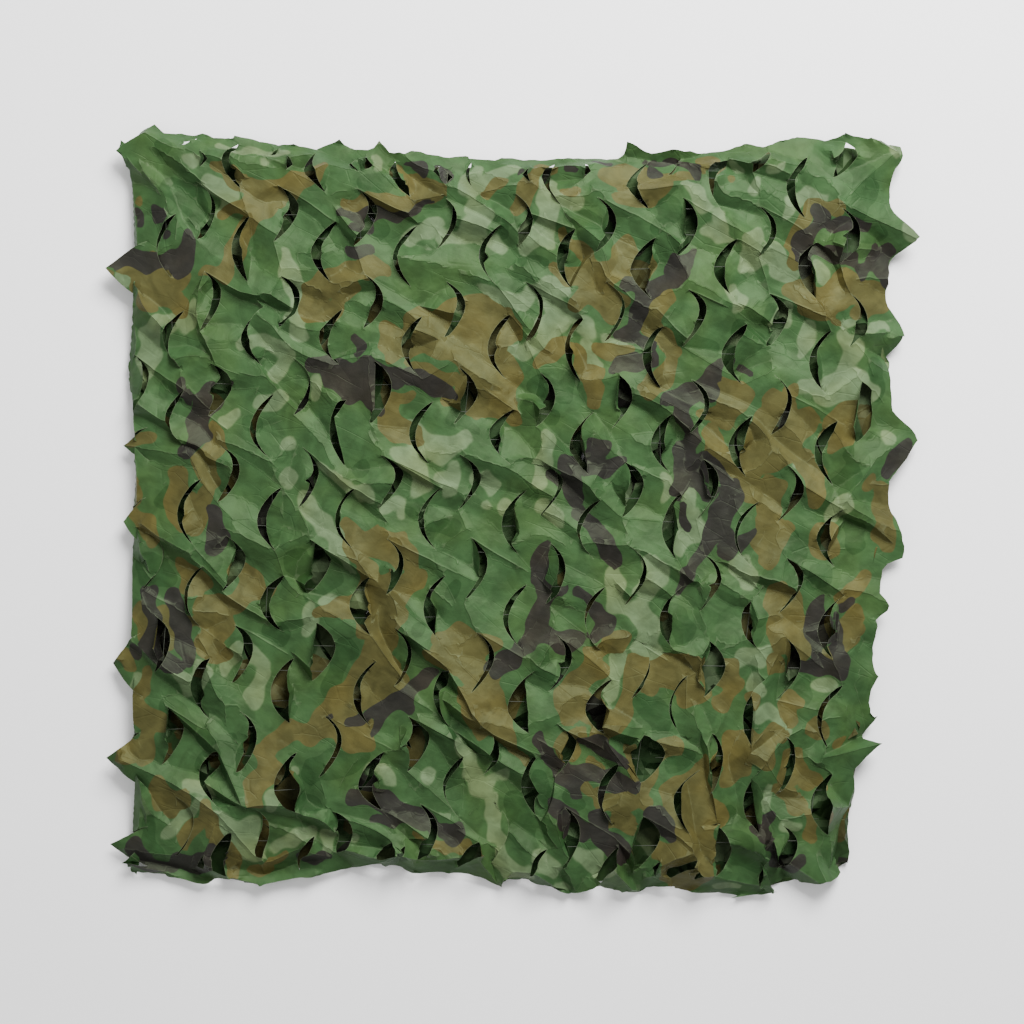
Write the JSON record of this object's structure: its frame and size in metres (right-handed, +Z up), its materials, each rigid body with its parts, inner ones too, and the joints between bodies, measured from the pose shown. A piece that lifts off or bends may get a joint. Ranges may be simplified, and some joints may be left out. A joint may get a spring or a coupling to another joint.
{
  "type": "camouflage net",
  "caption": "Folded camouflage net: thin slit-cut cloth with curling leaf tongues, laid back and forth in layers, for hiding or shading what it covers.",
  "frame": {"origin": "on the ground, under the middle of the folded bundle", "axes": "+X across the folds, from the left fold to the raw right edge; +Y along the folds, up in the view from above; +Z up"},
  "size_m": [1.02, 0.9572, 0.0559],
  "materials": {
    "camouflage_cloth": "thin coated polyester with a woodland print in greens, brown and charcoal, softly shiny, crinkled",
    "net_string": "thin twisted pale grey string"
  },
  "bodies": {
    "root": {"net_cloth": "camouflage_cloth"}
  },
  "joints": []
}
